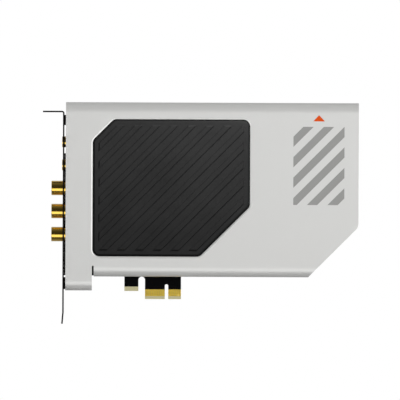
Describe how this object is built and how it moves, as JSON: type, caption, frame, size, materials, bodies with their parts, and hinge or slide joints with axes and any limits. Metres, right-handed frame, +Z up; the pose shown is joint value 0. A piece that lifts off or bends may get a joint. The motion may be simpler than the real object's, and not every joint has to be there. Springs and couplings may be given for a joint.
{
  "type": "sound card",
  "caption": "Expansion-slot sound card: folded grey cover with a ribbed black panel, black bracket with gold audio sockets, and a board with a short gold contact tongue.",
  "frame": {"origin": "middle of the key notch on the lower edge of the contact tongue, in the middle of the board", "axes": "+X along the card away from the bracket, +Z up out of the slot, -Y towards the component side"},
  "size_m": [0.178, 0.0216, 0.125],
  "materials": {
    "cover_paint": "satin light grey powder coat on folded sheet",
    "panel_plastic": "fine-textured black moulding",
    "tape": "black double-sided foam tape",
    "bracket_paint": "black coat on steel",
    "board_mask": "black solder mask on glass laminate",
    "contact_gold": "gold plating",
    "port_gold": "polished gold plating on turned brass",
    "screw_steel": "black zinc on steel",
    "standoff_steel": "bright zinc on steel",
    "housing_plastic": "black moulded housing",
    "insulator_white": "white moulding",
    "insulator_red": "red moulding",
    "insulator_black": "black moulding",
    "tail_tin": "tinned",
    "chip_epoxy": "moulded epoxy",
    "relay_plastic": "pale moulded case",
    "film_red": "red cast case",
    "can_aluminium": "bright can",
    "clock_metal": "metal lid",
    "ferrite": "pressed ferrite",
    "resistor": "dark chip part",
    "ceramic": "tan ceramic"
  },
  "bodies": {
    "root": {"audio_processor": "chip_epoxy", "bracket_screws": "screw_steel", "capacitor_base_1": "housing_plastic", "capacitor_base_2": "housing_plastic", "capacitor_base_3": "housing_plastic", "capacitor_base_4": "housing_plastic", "capacitor_can_1": "can_aluminium", "capacitor_can_2": "can_aluminium", "capacitor_can_3": "can_aluminium", "capacitor_can_4": "can_aluminium", "chip_capacitors": "ceramic", "chip_resistors": "resistor", "circuit_board": "board_mask", "contacts_back": "contact_gold", "contacts_front": "contact_gold", "converter_chip": "chip_epoxy", "cover_screws": "screw_steel", "cover_shroud": "cover_paint", "cover_standoffs": "standoff_steel", "film_capacitor_lower": "film_red", "film_capacitor_middle": "film_red", "film_capacitor_upper": "film_red", "header_base": "housing_plastic", "header_pins": "contact_gold", "inductor_left": "ferrite", "inductor_right": "ferrite", "minijack_barrel_lower": "port_gold", "minijack_barrel_upper": "port_gold", "minijack_body_lower": "housing_plastic", "minijack_body_upper": "housing_plastic", "minijack_tails": "tail_tin", "mute_relay_lower": "relay_plastic", "mute_relay_upper": "relay_plastic", "op_amp_lower": "chip_epoxy", "op_amp_middle": "chip_epoxy", "op_amp_upper": "chip_epoxy", "oscillator_lower": "clock_metal", "oscillator_upper": "clock_metal", "panel_tape": "tape", "rca_contact_lower": "port_gold", "rca_contact_middle": "port_gold", "rca_contact_upper": "port_gold", "rca_housing_lower": "housing_plastic", "rca_housing_middle": "housing_plastic", "rca_housing_upper": "housing_plastic", "rca_insulator_lower": "insulator_black", "rca_insulator_middle": "insulator_red", "rca_insulator_upper": "insulator_white", "rca_shell_lower": "port_gold", "rca_shell_middle": "port_gold", "rca_shell_upper": "port_gold", "rca_tails": "tail_tin", "regulator_left": "chip_epoxy", "regulator_right": "chip_epoxy", "rib_panel": "panel_plastic", "slot_bracket": "bracket_paint"}
  },
  "joints": []
}
